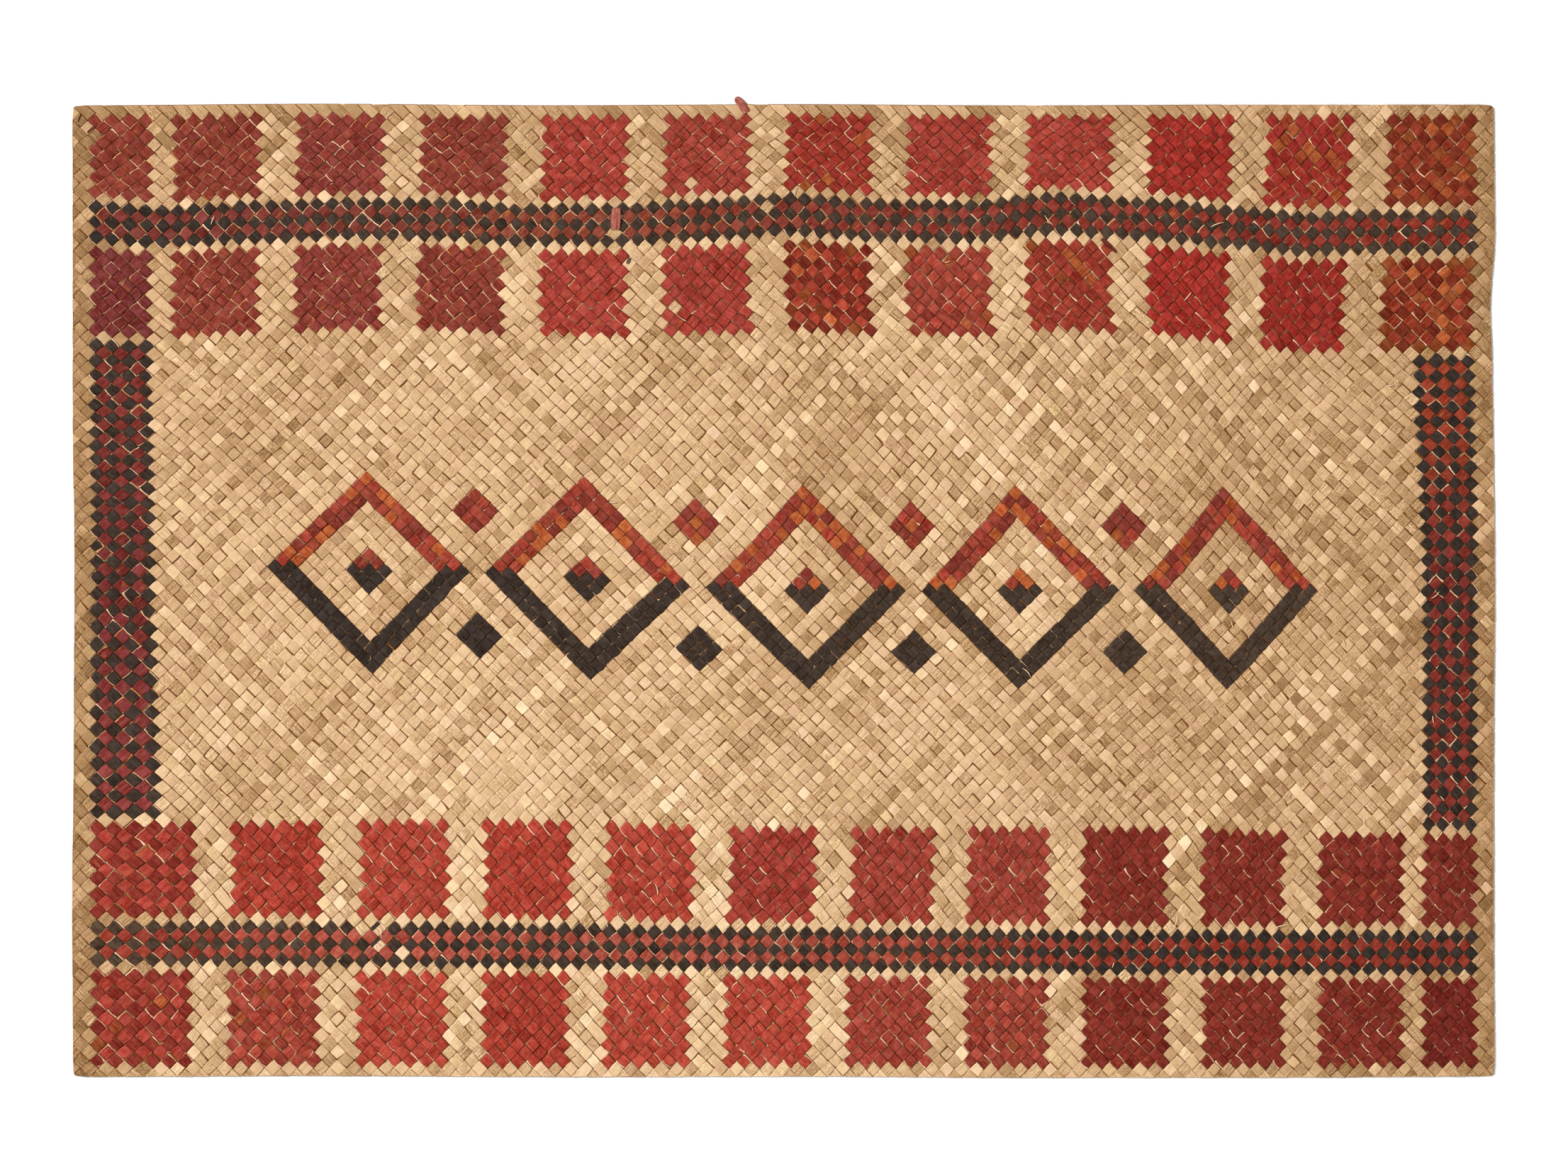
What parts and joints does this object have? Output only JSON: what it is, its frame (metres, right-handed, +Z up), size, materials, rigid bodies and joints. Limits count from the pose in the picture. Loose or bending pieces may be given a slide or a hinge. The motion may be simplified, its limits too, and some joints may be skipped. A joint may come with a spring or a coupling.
{
  "type": "pandanus mat",
  "caption": "Flat rectangular mat plaited on the bias from pandanus strips, with turned edges and dyed overlaid panels and bands; lies on a floor, table or bench.",
  "frame": {"origin": "on the resting surface, under the centre of the mat's box", "axes": "+X along the mat's long side, +Y towards the far long side as pictured, +Z up out of the dyed face"},
  "size_m": [0.9126, 0.6291, 0.0021],
  "materials": {
    "natural_strip": "dry plaited pandanus leaf strips, straw to tan, veined and speckled",
    "red_strip": "pandanus leaf strips dyed brick red to maroon, faded in places",
    "black_strip": "pandanus leaf strips dyed charcoal black to brown-black"
  },
  "bodies": {
    "root": {"mat": "natural_strip"}
  },
  "joints": []
}
